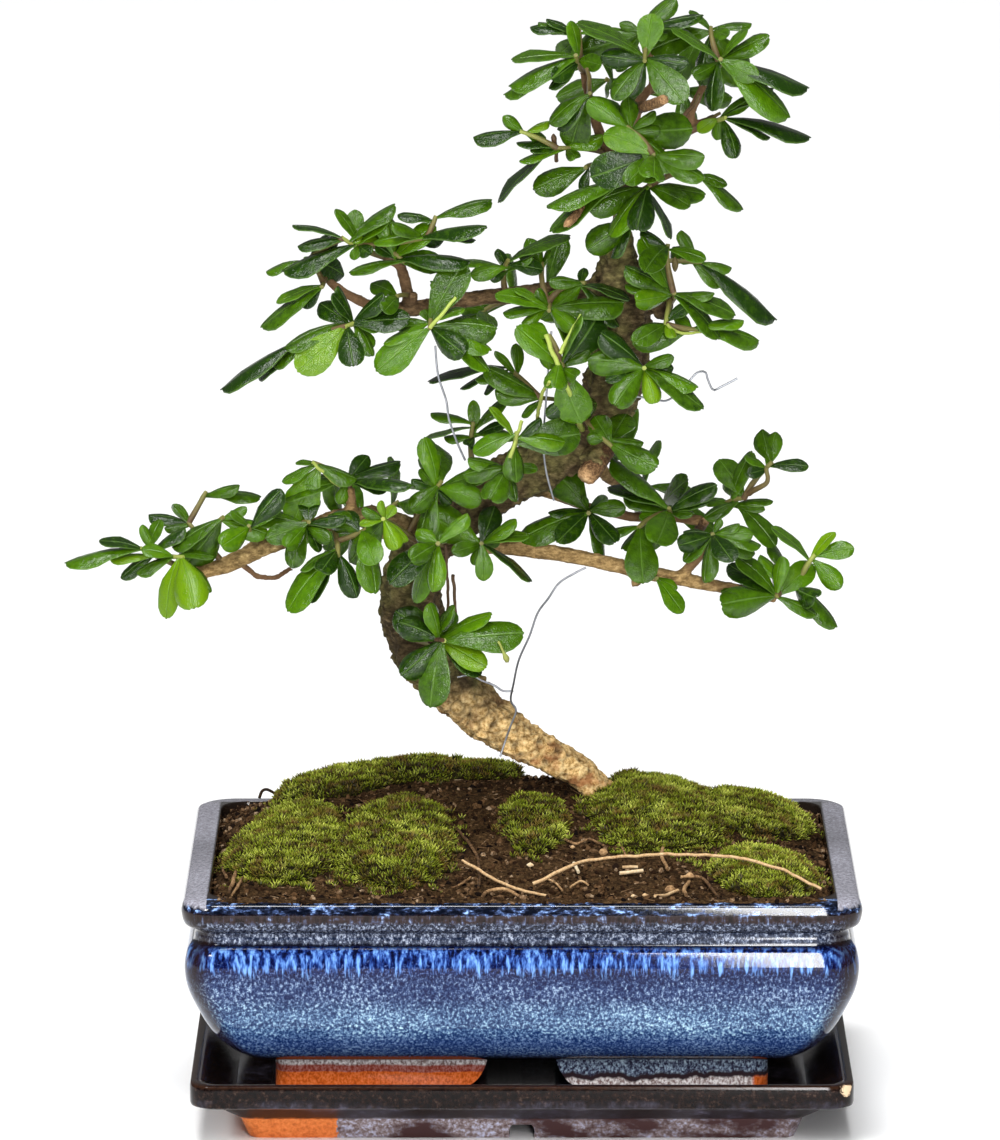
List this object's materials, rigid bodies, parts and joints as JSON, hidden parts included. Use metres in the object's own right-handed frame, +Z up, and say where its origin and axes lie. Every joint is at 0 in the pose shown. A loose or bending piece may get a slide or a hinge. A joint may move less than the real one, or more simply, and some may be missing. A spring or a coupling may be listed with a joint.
{
  "type": "potted bonsai tree",
  "caption": "Small-leaved evergreen bonsai with a slanting S-shaped trunk, in an oblong blue glazed footed pot on a dark glazed saucer.",
  "frame": {"origin": "on the ground, below the middle of the whole object's box", "axes": "+Z up, +X to the right as seen from the front, the front looks towards -Y"},
  "size_m": [0.295, 0.19, 0.4157],
  "materials": {
    "blue_glaze": "gloss",
    "dark_glaze": "gloss",
    "soil": "matte",
    "moss": "matte",
    "bark": "matte",
    "dry_root": "matte",
    "wire": "satin",
    "leaf": "satin"
  },
  "bodies": {
    "root": {"saucer": "dark_glaze", "pot": "blue_glaze", "trunk_and_branches": "bark", "soil": "soil", "dry_root_long": "dry_root", "dry_root_short": "dry_root", "moss_back_left": "moss", "moss_left": "moss", "moss_centre": "moss", "moss_right": "moss", "moss_front_right": "moss", "guy_wire_right": "wire", "guy_wire_left": "wire", "guy_wire_middle": "wire", "loose_wire": "wire", "leaves_left_tip": "leaf", "leaves_left_tip_upper": "leaf", "leaves_left_mid": "leaf", "leaves_left_mid_inner": "leaf", "leaves_left_low_top": "leaf", "leaves_left_low_young": "leaf", "leaves_left_low_under": "leaf", "leaves_fork_left": "leaf", "leaves_fork_front": "leaf", "leaves_fork_right": "leaf", "leaves_low_front": "leaf", "leaves_mid_left": "leaf", "leaves_mid_left_back": "leaf", "leaves_mid_upper_left": "leaf", "leaves_mid_top": "leaf", "leaves_mid_right_front": "leaf", "leaves_high_mid": "leaf", "leaves_high_left_end": "leaf", "leaves_high_riser": "leaf", "leaves_high_left_low": "leaf", "leaves_high_mid_left": "leaf", "leaves_high_mid_top": "leaf", "leaves_right_high_mid": "leaf", "leaves_right_high_base": "leaf", "leaves_right_low_hang": "leaf", "leaves_right_fork_tip": "leaf", "leaves_right_tip_up": "leaf", "leaves_right_tip": "leaf", "leaves_trunk_right_mid": "leaf", "leaves_trunk_right_high": "leaf", "leaves_trunk_right_top": "leaf", "leaves_crown_front": "leaf", "leaves_crown_low": "leaf", "leaves_crown_left_low": "leaf", "leaves_crown_left_mid": "leaf", "leaves_crown_left_high": "leaf", "leaves_crown_left_top": "leaf", "leaves_crown_mid_top": "leaf", "leaves_crown_right_top": "leaf", "leaves_crown_right_end": "leaf", "leaves_back_low": "leaf", "leaves_back_right": "leaf", "leaves_back_middle": "leaf", "leaves_back_crown": "leaf"}
  },
  "joints": []
}
